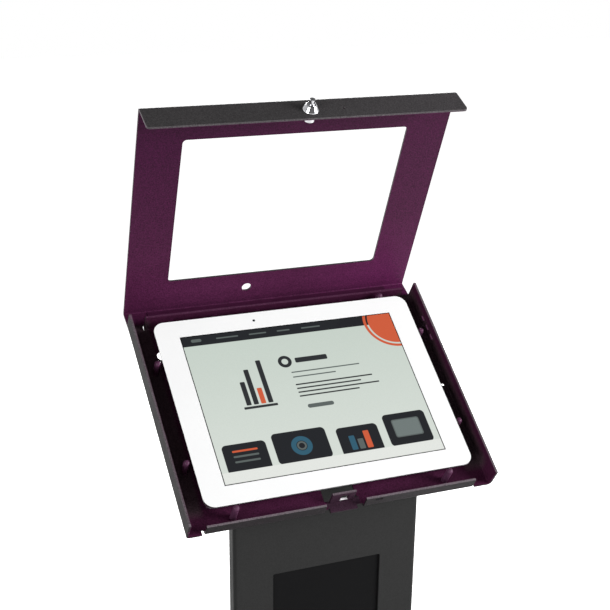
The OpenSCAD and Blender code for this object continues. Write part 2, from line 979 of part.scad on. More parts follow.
module lid_panel_outline() {
  front = lid_front_out + lid_bend;
  rear = lid_rear_out - lid_bend;
  difference() {
    translate([-lid_half, front])
      square([2 * lid_half, rear - front]);
    translate([0, lid_window_v])
      round_outline(lid_window_width, lid_window_length, lid_window_corner);
    translate([camera_hole_u, camera_hole_v])
      circle(camera_hole_radius);
  }
}

module lid_frame() {
  color(aubergine)
    lid_frame_open()
      difference() {
        union() {
          translate([0, 0, lid_under])
            linear_extrude(sheet)
              lid_panel_outline();
          along_x(-lid_half, 2 * lid_half) {
            translate([lid_front_out + lid_bend, lid_over - lid_bend])
              rotate(-90)
                bend_ring(lid_bend, sheet);
            translate([lid_rear_out - lid_bend, lid_over - lid_bend])
              rotate(180)
                bend_ring(lid_bend, sheet);
            translate([lid_rear_in, lid_rear_low])
              square([sheet, lid_over - lid_bend - lid_rear_low]);
          }
          along_v(lid_front_out, lid_front_in)
            lid_front_outline();
        }
        rod_y(0, lock_w, lid_front_out - through, lid_front_in + through, barrel_radius + slip);
        rod_y(pin_hole_u, lock_w, lid_front_out - through, lid_front_in + through, pin_hole_radius);
        for (u = lid_rivets)
          rod_y(u, lid_rivet_w, lid_rear_in - through, lid_rear_out + through, rivet_radius + slip);
      }
}

module lock_body() {
  color(chrome)
    lock_frame()
      difference() {
        union() {
          translate([0, 0, -bezel_height])
            cylinder(h = bezel_height, r1 = bezel_tip_radius, r2 = bezel_radius);
          cylinder(h = barrel_depth, r = barrel_radius);
        }
        translate([0, 0, -bezel_height - through])
          cylinder(h = bezel_height + barrel_depth + 2 * through, r = plunger_radius + slip);
        translate([0, 0, chamber_start])
          cylinder(h = chamber_end - chamber_start, r = chamber_radius);
      }
}

module lock_clip() {
  color(chrome)
    lock_frame()
      translate([0, 0, sheet])
        difference() {
          cylinder(h = lock_clip_thickness, r = lock_clip_radius);
          translate([0, 0, -through])
            cylinder(h = lock_clip_thickness + 2 * through, r = barrel_radius + slip);
        }
}

module lock_plunger() {
  color(chrome)
    lock_frame()
      difference() {
        union() {
          translate([0, 0, plunger_tip])
            cylinder(h = plunger_end - plunger_tip, r = plunger_radius);
          translate([0, 0, chamber_start + loose])
            cylinder(h = collar_length, r = collar_radius);
        }
        translate([0, 0, plunger_tip - through])
          cylinder(h = plug_length + through, r = plug_radius + slip);
      }
}

module key_plug() {
  color(zinc)
    lock_frame()
      translate([0, 0, plunger_tip])
        difference() {
          cylinder(h = plug_length - slip, r = plug_radius);
          cube([key_slot_width, key_slot_length, 2 * key_slot_depth], center = true);
        }
}

// Button in the tablet's edge or, with a gap round it, the slot that it slides in
module edge_block(length, start, depth, gap) {
  translate([-length / 2 - gap, start, button_w - button_height / 2 - gap])
    cube([length + 2 * gap, depth, button_height + 2 * gap]);
}

module power_place() {
  translate([power_u, tablet_length / 2, 0])
    children();
}

module rocker_place() {
  translate([tablet_width / 2, rocker_v, 0])
    rotate(-90)
      children();
}

// Section of the tablet's back, tapered below its rim
module taper_section(half) {
  rim_low = -front_thickness - shell_rim;
  polygon([[-half, -front_thickness], [-half, rim_low], [shell_taper - half, -tablet_thickness],
    [half - shell_taper, -tablet_thickness], [half, rim_low], [half, -front_thickness]]);
}

// Hollow in the tablet's back, from the front down to a depth
module shell_hollow(wall, corner, depth) {
  translate([0, 0, -front_thickness - depth])
    linear_extrude(depth + through)
      round_outline(tablet_width - 2 * wall, tablet_length - 2 * wall, corner);
}

module tablet_shell() {
  well_depth = tablet_thickness - front_thickness - shell_floor;
  color(aluminium)
    head_frame()
      difference() {
        intersection() {
          translate([0, 0, -tablet_thickness])
            linear_extrude(tablet_thickness - front_thickness)
              round_outline(tablet_width, tablet_length, tablet_corner);
          along_v(-tablet_length, tablet_length) taper_section(tablet_width / 2);
          along_x(-tablet_width, 2 * tablet_width) taper_section(tablet_length / 2);
        }
        shell_hollow(shell_wall, tablet_corner - shell_wall, pocket_depth);
        shell_hollow(well_wall, well_corner, well_depth);
        power_place() edge_block(power_length, -button_slot_depth, button_slot_depth + through, loose);
        rocker_place() edge_block(rocker_length, -button_slot_depth, button_slot_depth + through, loose);
      }
}

module tablet_front() {
  color(white)
    head_frame()
      difference() {
        translate([0, 0, -front_thickness])
          linear_extrude(front_thickness)
            round_outline(tablet_width, tablet_length, tablet_corner);
        translate([-display_width / 2 - slip, -display_length / 2 - slip, -front_thickness - through])
          cube([display_width + 2 * slip, display_length + 2 * slip, front_thickness + 2 * through]);
        translate([lens_u, lens_v, -front_thickness - through])
          cylinder(h = front_thickness + 2 * through, r = lens_radius + slip);
      }
}

module tablet_display() {
  back_w = display_width + 2 * display_back_margin;
  back_l = display_length + 2 * display_back_margin;
  color(near_black)
    head_frame() {
      translate([-display_width / 2, -display_length / 2, -front_thickness])
        cube([display_width, display_length, front_thickness + display_top]);
      translate([-back_w / 2, -back_l / 2, -front_thickness - display_back_thickness])
        cube([back_w, back_l, display_back_thickness]);
    }
}

module camera_lens() {
  color(near_black)
    head_frame()
      translate([lens_u, lens_v, 0]) {
        translate([0, 0, -front_thickness])
          cylinder(h = front_thickness + display_top, r = lens_radius);
        translate([0, 0, -front_thickness - lens_flange_height])
          cylinder(h = lens_flange_height, r = lens_flange_radius);
      }
}

module power_button() {
  color(aluminium)
    head_frame()
      power_place()
        edge_block(power_length, -button_inset - button_depth, button_depth, 0);
}

module volume_rocker() {
  color(aluminium)
    head_frame()
      rocker_place()
        edge_block(rocker_length, -button_inset - button_depth, button_depth, 0);
}

module tablet_battery() {
  color(near_black)
    head_frame()
      translate([battery_u, 0, shell_floor - tablet_thickness + battery_size.z / 2])
        cube(battery_size, center = true);
}

module tablet_board() {
  color(board_green)
    head_frame()
      translate([board_u, 0, shell_floor - tablet_thickness + board_size.z / 2])
        cube(board_size, center = true);
}

base_plate();
base_pads();
base_bolts();
foot_flange();
column_spine();
column_fascia();
insert_rails();
insert_panel();
fascia_nuts();
service_cover();
cover_screws();
cable_gland();
head_plate();
head_screws();
head_nuts();
tray();
locating_posts();
rest_pads();
hinge_leaf_tray();
hinge_leaf_lid();
hinge_pin();
hinge_rivets_tray();
hinge_rivets_lid();
lid_frame();
lock_body();
lock_clip();
lock_plunger();
key_plug();
tablet_shell();
tablet_front();
tablet_display();
camera_lens();
power_button();
volume_rocker();
tablet_battery();
tablet_board();
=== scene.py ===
import math

import bpy
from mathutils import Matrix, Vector

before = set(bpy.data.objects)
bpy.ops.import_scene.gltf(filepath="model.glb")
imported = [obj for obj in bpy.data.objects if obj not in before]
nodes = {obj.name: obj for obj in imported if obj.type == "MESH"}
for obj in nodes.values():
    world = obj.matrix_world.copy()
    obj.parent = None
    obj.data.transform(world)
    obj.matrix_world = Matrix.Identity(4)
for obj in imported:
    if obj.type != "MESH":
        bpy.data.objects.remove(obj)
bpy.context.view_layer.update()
scene = bpy.context.scene

MM = 0.001
X = (1.0, 0.0, 0.0)
WHITE = (1.0, 1.0, 1.0, 1.0)

# Frames of the sloping tray and of the open lid, in metres: v up the slope, w out of it
GLASS = (0.0, 0.061, 0.950)
TRAY_TILT = math.radians(34.0)
LID_TILT = math.radians(34.0 - 99.7)
HINGE_V = 0.1036
HINGE_W = -0.0161
TRAY_V = (0.0, math.cos(TRAY_TILT), math.sin(TRAY_TILT))
TRAY_W = (0.0, -math.sin(TRAY_TILT), math.cos(TRAY_TILT))
LID_V = (0.0, math.cos(LID_TILT), math.sin(LID_TILT))
LID_W = (0.0, -math.sin(LID_TILT), math.cos(LID_TILT))
HINGE = Vector(GLASS) + HINGE_V * Vector(TRAY_V) + HINGE_W * Vector(TRAY_W)


def srgb(red, green, blue):
    """A colour as seen on a screen, 0 to 255, as the linear colour that a shader takes."""
    def linear(value):
        value /= 255
        return value / 12.92 if value <= 0.04045 else ((value + 0.055) / 1.055) ** 2.4
    return (linear(red), linear(green), linear(blue), 1.0)


class Shader:
    """A node material, with short calls for the nodes that the finishes here are made of."""

    def __init__(self, name):
        self.material = bpy.data.materials.new(name)
        self.material.use_nodes = True
        self.tree = self.material.node_tree
        self.surface = self.tree.nodes["Principled BSDF"]
        self.coordinates = self.tree.nodes.new("ShaderNodeTexCoord")
        self.place = self.coordinates.outputs["Object"]
        self.normal = self.coordinates.outputs["Normal"]

    def put(self, socket, value):
        if isinstance(value, bpy.types.NodeSocket):
            self.tree.links.new(value, socket)
        else:
            socket.default_value = value

    def math(self, operation, *values):
        node = self.tree.nodes.new("ShaderNodeMath")
        node.operation = operation
        for socket, value in zip(node.inputs, values):
            self.put(socket, value)
        return node.outputs[0]

    def vector(self, operation, *values):
        node = self.tree.nodes.new("ShaderNodeVectorMath")
        node.operation = operation
        for socket, value in zip(node.inputs, values):
            self.put(socket, value)
        scalar = operation in ("DOT_PRODUCT", "LENGTH", "DISTANCE")
        return node.outputs["Value" if scalar else "Vector"]

    def mix(self, factor, first, second):
        node = self.tree.nodes.new("ShaderNodeMix")
        node.data_type = "RGBA"
        for index, value in ((0, factor), (6, first), (7, second)):
            self.put(node.inputs[index], value)
        return node.outputs[2]

    def spread(self, value, low, high, to_low=0.0, to_high=1.0):
        node = self.tree.nodes.new("ShaderNodeMapRange")
        for index, part in enumerate((value, low, high, to_low, to_high)):
            self.put(node.inputs[index], part)
        return node.outputs[0]

    def noise(self, scale, detail=2.0, roughness=0.5):
        node = self.tree.nodes.new("ShaderNodeTexNoise")
        self.put(node.inputs["Vector"], self.place)
        node.inputs["Scale"].default_value = scale
        node.inputs["Detail"].default_value = detail
        node.inputs["Roughness"].default_value = roughness
        return node.outputs[0]

    def bump(self, height, distance, strength):
        node = self.tree.nodes.new("ShaderNodeBump")
        node.inputs["Strength"].default_value = strength
        node.inputs["Distance"].default_value = distance
        self.put(node.inputs["Height"], height)
        self.put(self.surface.inputs["Normal"], node.outputs[0])

    def scaled(self, colour, level):
        tone = self.vector("SCALE", colour)
        self.put(tone.node.inputs["Scale"], level)
        return tone

    def product(self, first, *others):
        for other in others:
            first = self.math("MULTIPLY", first, other)
        return first

    def smallest(self, first, *others):
        for other in others:
            first = self.math("MINIMUM", first, other)
        return first

    def above(self, value, limit):
        return self.math("GREATER_THAN", value, limit)

    def below(self, value, limit):
        return self.math("LESS_THAN", value, limit)

    def along(self, origin, axis):
        """Distance from an origin along an axis."""
        return self.vector("DOT_PRODUCT", self.vector("SUBTRACT", self.place, origin), axis)

    def sideways(self):
        """Distance to the right of the stand's middle, less than 0 on the left."""
        return self.vector("DOT_PRODUCT", self.place, X)

    def across(self):
        """Distance from the stand's middle to either side."""
        return self.math("ABSOLUTE", self.sideways())

    def facing(self, axis):
        return self.vector("DOT_PRODUCT", self.normal, axis)

    def squarely(self, axis):
        """How squarely a face looks along an axis, whichever way."""
        return self.math("ABSOLUTE", self.facing(axis))

    def set(self, **inputs):
        for name, value in inputs.items():
            title = name.replace("_", " ").title().replace("Ior", "IOR")
            self.put(self.surface.inputs[title], value)
        return self.material


# Powder coat: noise scales are per metre
COAT_GRAIN = 900.0
COAT_MOTTLE = 26.0
COAT_PEEL = 1500.0
PEEL_HEIGHT = 0.12 * MM
MOTTLE_AMOUNT = 0.07
COAT_ROUGHNESS = 0.45
POST_ROUGHNESS = 0.32
SHEET_SPECKLE = 0.45
POST_SPECKLE = 0.3
PLAIN_SPECKLE = 0.22
TRAY_SHINE = 0.05
LID_SHINE = 0.1
PLAIN_SHINE = 0.14


def powder_coat(shader, colour, speckle, roughness, shine):
    """Fine textured powder coat: speckled colour, a soft mottle, and orange peel in the surface."""
    grain = shader.noise(COAT_GRAIN, 2.0, 0.7)
    mottle = shader.noise(COAT_MOTTLE, 3.0, 0.6)
    peel = shader.noise(COAT_PEEL, 2.0, 0.6)
    level = shader.math("ADD", shader.spread(grain, 0.3, 0.7, 1.0 - speckle, 1.0 + speckle),
                        shader.spread(mottle, 0.25, 0.75, -MOTTLE_AMOUNT, MOTTLE_AMOUNT))
    shader.bump(peel, PEEL_HEIGHT, 0.55)
    uneven = shader.spread(shader.math("ADD", grain, mottle), 0.6, 1.4,
                           roughness - 0.05, roughness + 0.07)
    return shader.set(base_color=shader.scaled(colour, level), roughness=uneven,
                      specular_ior_level=shine)


CHARCOAL = srgb(31, 31, 31)
# The tray's and the lid's charcoal are lighter copies of the column's: painted light, for the light
# that falls on them
TRAY_CHARCOAL_LIT = srgb(46, 43, 45)
SHADED_WALL_CHARCOAL = srgb(28, 23, 26)
LID_CHARCOAL_LIT = srgb(61, 59, 60)
LID_PAINTED_LIGHT = srgb(69, 66, 68)
PURPLE = srgb(66, 24, 53)
# The tray's inside purple is a darker copy of the lid's: painted shade for the tray's hollow
TRAY_SHADED_PURPLE = srgb(62, 25, 49)
LIT_PURPLE = srgb(78, 32, 64)
SHADED_LID_PURPLE = srgb(54, 14, 44)
LIT_LID_PURPLE = srgb(92, 30, 76)
GAP_HAZE_PURPLE = srgb(72, 56, 63)
LOCK_PURPLE = srgb(51, 38, 48)
POST_PURPLE = srgb(82, 48, 72)
EDGE_WEAR_AND_HIGHLIGHT = srgb(150, 138, 146)
FOLD_HIGHLIGHT = srgb(84, 78, 84)
SLOT_GLINT = srgb(236, 234, 236)
GLOOM = srgb(22, 16, 20)

# Folded sheets: depth at which the outside's colour turns to the inside's, and the painted
# highlight on the folds
COAT_TURN = (1.4 * MM, 1.7 * MM)
FOLD_FACING = (0.985, 0.80)
FOLD_AMOUNT = 0.3
SIDE_FACING = (0.6, 0.9)


def two_sided(shader, depth, axes, outer, inner):
    """Charcoal on the outside of a folded sheet, with a paler painted highlight on its folds, and
    purple inside.
    """
    inside = shader.spread(depth, *COAT_TURN)
    paint = shader.mix(inside, outer, inner)
    flat = shader.squarely(X)
    for axis in axes:
        flat = shader.math("MAXIMUM", flat, shader.squarely(axis))
    fold_highlight = shader.product(shader.spread(flat, *FOLD_FACING, 0.0, FOLD_AMOUNT),
                          shader.math("SUBTRACT", 1.0, inside))
    return shader.mix(fold_highlight, paint, FOLD_HIGHLIGHT)


# Outer skin of the tray in its own frame, and where its flanges end
TRAY_HALF = 0.1371
TRAY_FRONT = -0.1057
TRAY_REAR = 0.1018
TRAY_UNDER = -0.0190
FRONT_MIDDLE = (-0.0014, 0.0, 0.0)
FRONT_GAP_HALF = 0.0176
FRONT_FLANGE_END = 0.1200
REAR_FLANGE_END = 0.1232
NO_FLANGE = 0.02

# Floor beside the tablet, where haze is painted over its shade, and the length over which shade is
# painted on the outside of each side wall, darker towards the front
GAP_U = (0.117, 0.121)
GAP_V = (-0.092, -0.084)
GAP_W = (-0.003, -0.012)
WALL_SHADE_V = (0.08, -0.07)

# Tongue and keeper tab at the lock, and the keeper's slot
TAB_HALF = 0.0146
TAB_REAR = -0.0953
TAB_FOOT = -0.0176
TAB_TOP = -0.0046
TAB_AMOUNT = 0.75
KEEPER_HALF = 0.0038
KEEPER_HIGH = -0.0120
KEEPER_LOW = -0.0148
KEEPER_REAR = -0.0956

# Button slots in the side walls
JAMB_IN = 0.1348
JAMB_OUT = 0.1369
BUTTON_W = -0.0090
BUTTON_HALF = 0.0014

# Cut edges: each is above the height given, and in front of or behind the place given
WALL_TOP = 0.0003
WALL_SKIN = 0.1366
LINE_AMOUNT = 0.6
LIP_REAR = -0.1032
LIP_TOP = -0.0068
BACK_FRONT = 0.0992
BACK_TOP = -0.0018


def tray_paint():
    shader = Shader("tray_paint")
    u = shader.across()
    v = shader.along(GLASS, TRAY_V)
    w = shader.along(GLASS, TRAY_W)
    upward = shader.facing(TRAY_W)
    on_side = shader.squarely(X)

    off_middle = shader.math("ABSOLUTE", shader.along(FRONT_MIDDLE, X))
    no_front = shader.math("ADD", shader.below(off_middle, FRONT_GAP_HALF),
                           shader.above(off_middle, FRONT_FLANGE_END))
    no_rear = shader.above(u, REAR_FLANGE_END)
    front = shader.math("ADD", shader.math("SUBTRACT", v, TRAY_FRONT),
                        shader.product(no_front, NO_FLANGE))
    rear = shader.math("ADD", shader.math("SUBTRACT", TRAY_REAR, v),
                       shader.product(no_rear, NO_FLANGE))
    depth = shader.smallest(shader.math("SUBTRACT", w, TRAY_UNDER),
                            shader.math("SUBTRACT", TRAY_HALF, u), front, rear)
    # Painted haze: a greyer purple over the shaded floor beside the tablet
    gap_haze = shader.product(shader.spread(u, *GAP_U), shader.spread(v, *GAP_V),
                         shader.spread(w, *GAP_W))
    inner = shader.mix(gap_haze, TRAY_SHADED_PURPLE, GAP_HAZE_PURPLE)
    # Painted shade on the outside of each side wall, darker towards the front
    wall_shade = shader.product(shader.spread(on_side, *SIDE_FACING),
                              shader.spread(v, *WALL_SHADE_V))
    outer = shader.mix(wall_shade, TRAY_CHARCOAL_LIT, SHADED_WALL_CHARCOAL)
    colour = two_sided(shader, depth, (TRAY_V, TRAY_W), outer, inner)

    # Tongue and keeper tab at the lock, with a near-white glint painted in the keeper's slot
    lock = shader.smallest(shader.below(u, TAB_HALF), shader.below(v, TAB_REAR),
                           shader.above(w, TAB_FOOT))
    colour = shader.mix(shader.product(lock, TAB_AMOUNT), colour, LOCK_PURPLE)
    slot_glint = shader.smallest(shader.below(u, KEEPER_HALF), shader.below(w, KEEPER_HIGH),
                           shader.above(w, KEEPER_LOW), shader.below(v, KEEPER_REAR),
                           shader.above(upward, 0.6))
    colour = shader.mix(slot_glint, colour, SLOT_GLINT)

    # Insides of the button slots, painted paler in the posts' purple: painted light from outside
    # the wall
    off_slot = shader.math("ABSOLUTE", shader.math("SUBTRACT", w, BUTTON_W))
    lit_jamb = shader.smallest(shader.above(u, JAMB_IN), shader.below(u, JAMB_OUT),
                           shader.below(off_slot, BUTTON_HALF))
    lit_jamb = shader.product(lit_jamb, shader.below(on_side, 0.5))
    colour = shader.mix(lit_jamb, colour, POST_PURPLE)

    # Dark line painted along the top of each side wall's outside
    walls = shader.above(w, WALL_TOP)
    line = shader.smallest(walls, shader.above(u, WALL_SKIN), shader.below(upward, 0.8))
    colour = shader.mix(shader.product(line, LINE_AMOUNT), colour, GLOOM)

    # Cut edges of the walls and flanges, paler on faces turned upward: part thin coat, part painted
    # highlight
    up = shader.spread(upward, 0.55, 0.9)
    lip = shader.product(shader.below(v, LIP_REAR), shader.above(w, LIP_TOP))
    back = shader.product(shader.above(v, BACK_FRONT), shader.above(w, BACK_TOP))
    tab = shader.product(lock, shader.above(w, TAB_TOP))
    colour = shader.mix(shader.product(up, back), colour, PURPLE)
    rim_wear_and_highlight = 0.0
    for part, amount in ((walls, 0.25), (lip, 0.4), (back, 0.05), (tab, 0.3)):
        rim_wear_and_highlight = shader.math("MAXIMUM", rim_wear_and_highlight, shader.product(part, amount))
    colour = shader.mix(shader.product(up, rim_wear_and_highlight), colour, EDGE_WEAR_AND_HIGHLIGHT)
    return powder_coat(shader, colour, SHEET_SPECKLE, COAT_ROUGHNESS, TRAY_SHINE)


# Outer skin of the lid in its own frame, and the foot of its front flange
LID_SKIN = 4.1 * MM
LID_FRONT = -0.1090
LID_REAR = 0.1074
LID_FOOT = -0.0150

# Painted light and shade on the lid: from, to, and the amounts there where they aren't 0 and 1
LIT_U = (0.130, 0.100)
LIT_V = (0.060, 0.085)
SHADE_V = (0.045, -0.070)
SHADE_X = (0.0, -0.10, 0.6, 1.0)
LIGHT_V = (0.020, 0.090)
LIGHT_X = (0.030, 0.100, 0.0, 0.5)
PAINTED_LIGHT_X = (-0.030, 0.110)
LID_END_AMOUNT = 0.35
LID_FOOT_AMOUNT = 0.1


def lid_paint():
    shader = Shader("lid_paint")
    pivot = tuple(HINGE - HINGE_V * Vector(LID_V) - HINGE_W * Vector(LID_W))
    x = shader.sideways()
    v = shader.along(pivot, LID_V)
    w = shader.along(pivot, LID_W)
    depth = shader.smallest(shader.math("SUBTRACT", LID_SKIN, w),
                            shader.math("SUBTRACT", v, LID_FRONT),
                            shader.math("SUBTRACT", LID_REAR, v))
    # Painted light along the middle of the lid's hinge end, painted shade towards its front edge,
    # most on the left, and painted light at the hinge end's right
    lit = shader.product(shader.spread(shader.across(), *LIT_U), shader.spread(v, *LIT_V))
    lid_shade = shader.product(shader.spread(v, *SHADE_V), shader.spread(x, *SHADE_X))
    lid_light = shader.product(shader.spread(v, *LIGHT_V), shader.spread(x, *LIGHT_X))
    inner = shader.mix(lit, PURPLE, LIT_PURPLE)
    inner = shader.mix(lid_shade, inner, SHADED_LID_PURPLE)
    inner = shader.mix(lid_light, inner, LIT_LID_PURPLE)
    # The lid's charcoal is painted lighter towards its right end: painted light from the right
    outer = shader.mix(shader.spread(x, *PAINTED_LIGHT_X), LID_CHARCOAL_LIT, LID_PAINTED_LIGHT)
    colour = two_sided(shader, depth, (LID_V, LID_W), outer, inner)

    # Cut edges at the ends of the flanges and along the front flange's foot, paler: part thin coat,
    # part painted highlight
    ends = shader.spread(shader.squarely(X), *SIDE_FACING, 0.0, LID_END_AMOUNT)
    foot = shader.product(shader.spread(shader.facing(LID_W), -0.5, -0.85),
                          shader.below(w, LID_FOOT))
    edge_wear_and_highlight = shader.math("MAXIMUM", ends, shader.product(foot, LID_FOOT_AMOUNT))
    return powder_coat(shader, shader.mix(edge_wear_and_highlight, colour, EDGE_WEAR_AND_HIGHLIGHT), SHEET_SPECKLE, COAT_ROUGHNESS,
                       LID_SHINE)


def plain_paint(name, colour, speckle=PLAIN_SPECKLE, roughness=COAT_ROUGHNESS):
    return powder_coat(Shader(name), colour[:3], speckle, roughness, PLAIN_SHINE)


def panel_black():
    """Matt black sheet behind the column's window."""
    shader = Shader("panel_black")
    grain = shader.noise(700.0, 2.0, 0.6)
    mottle = shader.noise(9.0)
    blend = shader.math("ADD", shader.product(grain, 0.5), shader.product(mottle, 0.5))
    tone = shader.mix(blend, srgb(10, 10, 11), srgb(15, 15, 16))
    shader.bump(grain, 0.05 * MM, 0.4)
    return shader.set(base_color=tone, roughness=shader.spread(grain, 0.2, 0.8, 0.5, 0.62),
                      specular_ior_level=0.05)


def rubber():
    """Black rubber with a little dust."""
    shader = Shader("rubber")
    grain = shader.noise(420.0, 4.0, 0.65)
    dust = shader.spread(shader.noise(60.0, 3.0, 0.6), 0.55, 0.85)
    tone = shader.mix(dust, srgb(32, 32, 33), srgb(62, 61, 60))
    shader.bump(grain, 0.2 * MM, 0.6)
    return shader.set(base_color=tone, roughness=shader.spread(grain, 0.2, 0.8, 0.72, 0.9))


def plated(name, cloud, scratch, height, dark, pale, smoothest, roughest):
    """Plated metal: clouds in tone and gloss, and fine scratches, from two noises' settings."""
    shader = Shader(name)
    clouds = shader.noise(*cloud)
    shader.bump(shader.noise(*scratch), height, 0.5)
    return shader.set(base_color=shader.mix(clouds, dark, pale), metallic=1.0,
                      roughness=shader.spread(clouds, 0.25, 0.75, smoothest, roughest))


def zinc():
    return plated("zinc", (220.0, 4.0, 0.6), (1800.0, 2.0, 0.5), 0.03 * MM,
                  srgb(178, 178, 172), srgb(200, 203, 208), 0.24, 0.42)


def chrome():
    return plated("chrome", (300.0, 3.0, 0.6), (2600.0, 2.0, 0.5), 0.012 * MM,
                  srgb(222, 222, 226), srgb(236, 236, 238), 0.06, 0.14)


def aluminium():
    """Blasted aluminium of the tablet's shell."""
    shader = Shader("aluminium")
    blast = shader.noise(3200.0, 2.0, 0.6)
    tone = shader.mix(shader.noise(30.0, 3.0), srgb(196, 198, 200), srgb(210, 212, 214))
    shader.bump(blast, 0.02 * MM, 0.5)
    return shader.set(base_color=tone, metallic=1.0,
                      roughness=shader.spread(blast, 0.2, 0.8, 0.3, 0.42))


def white_glass():
    """White glass of the tablet's front, with faint smears and a dark edge."""
    shader = Shader("white_glass")
    cloud = shader.noise(14.0, 3.0)
    smear = shader.noise(90.0, 3.0, 0.6)
    front = shader.spread(shader.facing(TRAY_W), 0.3, 0.75)
    tone = shader.mix(cloud, srgb(243, 244, 244), srgb(250, 250, 250))
    tone = shader.mix(front, srgb(30, 28, 30), tone)
    return shader.set(base_color=tone, roughness=shader.spread(smear, 0.3, 0.7, 0.06, 0.11),
                      specular_ior_level=0.5, coat_weight=0.3, coat_roughness=0.04)


LENS_U = -0.0294
LENS_V = 0.08343


def lens_glass():
    """Camera lens: a dark pupil in a grey ring."""
    shader = Shader("lens_glass")
    middle = Vector(GLASS) + LENS_U * Vector(X) + LENS_V * Vector(TRAY_V)
    ring = shader.vector("DISTANCE", shader.place, tuple(middle))
    tone = shader.mix(shader.spread(ring, 0.4 * MM, 0.8 * MM), srgb(18, 22, 34), srgb(52, 53, 56))
    return shader.set(base_color=tone, coat_weight=1.0,
                      roughness=shader.spread(ring, 0.3 * MM, 1.0 * MM, 0.05, 0.2))


def foil():
    """Creased wrap of the tablet's battery."""
    shader = Shader("foil")
    crease = shader.noise(120.0, 4.0, 0.6)
    tone = shader.mix(crease, srgb(38, 38, 40), srgb(56, 56, 58))
    shader.bump(crease, 0.3 * MM, 0.4)
    return shader.set(base_color=tone, roughness=shader.spread(crease, 0.3, 0.7, 0.35, 0.6))


LANE_HALF = 0.9 * MM
ROW_HALF = 11.0 * MM
LANE_SWAY = 4.0 * MM


def solder_mask():
    """Green board with wandering traces."""
    shader = Shader("solder_mask")
    sway = shader.product(shader.noise(80.0), LANE_SWAY)
    lanes = shader.math("PINGPONG", shader.math("ADD", shader.sideways(), sway), LANE_HALF)
    rows = shader.math("PINGPONG", shader.along(GLASS, TRAY_V), ROW_HALF)
    trace = shader.product(shader.spread(lanes, 0.4 * MM, 0.5 * MM),
                           shader.spread(rows, 2.0 * MM, 2.2 * MM))
    tone = shader.mix(trace, srgb(16, 74, 46), srgb(42, 116, 78))
    return shader.set(base_color=tone,
                      roughness=shader.spread(shader.noise(300.0), 0.3, 0.7, 0.3, 0.45))


# Screen: a made-up page of plain shapes, in millimetres from the middle of the display
INK = srgb(44, 46, 48)
STRIP = srgb(228, 231, 226)
ORANGE = srgb(206, 92, 58)
SLATE = srgb(92, 100, 98)
PALE_SLATE = srgb(112, 122, 120)
TEAL = srgb(48, 92, 112)
NIGHT = srgb(30, 32, 35)
BOXES = [
    # middle across, middle up, half width, half height, corner, colour
    (0.0, 69.0, 100.0, 5.2, 0.4, NIGHT),
    (-86.0, 69.2, 4.6, 1.6, 1.5, SLATE),
    (-58.0, 69.2, 10.0, 0.7, 0.6, SLATE),
    (-30.0, 69.2, 8.0, 0.7, 0.6, SLATE),
    (-6.0, 69.2, 6.0, 0.7, 0.6, SLATE),
    (20.0, 69.2, 9.0, 0.7, 0.6, SLATE),
    (-58.0, 9.0, 2.2, 12.0, 0.8, INK),
    (-51.5, 15.0, 2.2, 18.0, 0.8, INK),
    (-45.0, 5.0, 2.2, 8.0, 0.8, ORANGE),
    (-38.5, 19.0, 2.2, 22.0, 0.8, INK),
    (-48.2, -5.5, 15.0, 1.2, 0.6, INK),
    (10.0, 36.0, 15.0, 2.6, 1.2, INK),
    (20.0, 24.0, 32.0, 0.6, 0.5, SLATE),
    (8.0, 19.0, 20.0, 0.6, 0.5, SLATE),
    (24.0, 11.0, 36.0, 0.7, 0.6, INK),
    (18.0, 7.0, 30.0, 0.7, 0.6, INK),
    (26.0, 3.0, 38.0, 0.7, 0.6, INK),
    (16.0, -1.0, 28.0, 0.7, 0.6, INK),
    (4.0, -12.0, 12.0, 2.0, 1.9, SLATE),
    (-74.0, -52.0, 19.0, 14.0, 4.0, NIGHT),
    (-25.0, -49.0, 24.0, 15.0, 4.0, NIGHT),
    (27.0, -52.0, 19.0, 14.0, 4.0, NIGHT),
    (73.0, -48.0, 20.0, 16.0, 4.0, NIGHT),
    (-74.0, -45.0, 11.0, 0.9, 0.8, ORANGE),
    (-74.0, -50.0, 11.0, 0.9, 0.8, SLATE),
    (-74.0, -55.0, 11.0, 0.9, 0.8, SLATE),
    (20.0, -54.0, 2.6, 7.0, 0.8, TEAL),
    (27.0, -56.0, 2.6, 5.0, 0.8, SLATE),
    (34.0, -52.5, 2.6, 8.5, 0.8, ORANGE),
    (73.0, -47.0, 13.0, 9.0, 2.0, SLATE),
    (73.0, -47.0, 12.0, 8.0, 1.5, PALE_SLATE),
]
RINGS = [
    # middle across, middle up, radius, half thickness, colour
    (-14.5, 36.0, 4.6, 1.6, INK),
    (-25.0, -49.0, 7.0, 2.2, TEAL),
    (-25.0, -49.0, 3.4, 0.8, SLATE),
    (99.0, 65.0, 12.0, 12.0, ORANGE),
    (99.0, 65.0, 27.0, 1.3, ORANGE),
]
FOOT_STRIP = (0.0, -69.0, 100.0, 5.6, 0.4)
LIT_PANEL = (0.0, 0.0, 98.55, 73.9, 0.4)
PAGE_FADE = (-60.0, 70.0)
SOFT_EDGE = 0.15


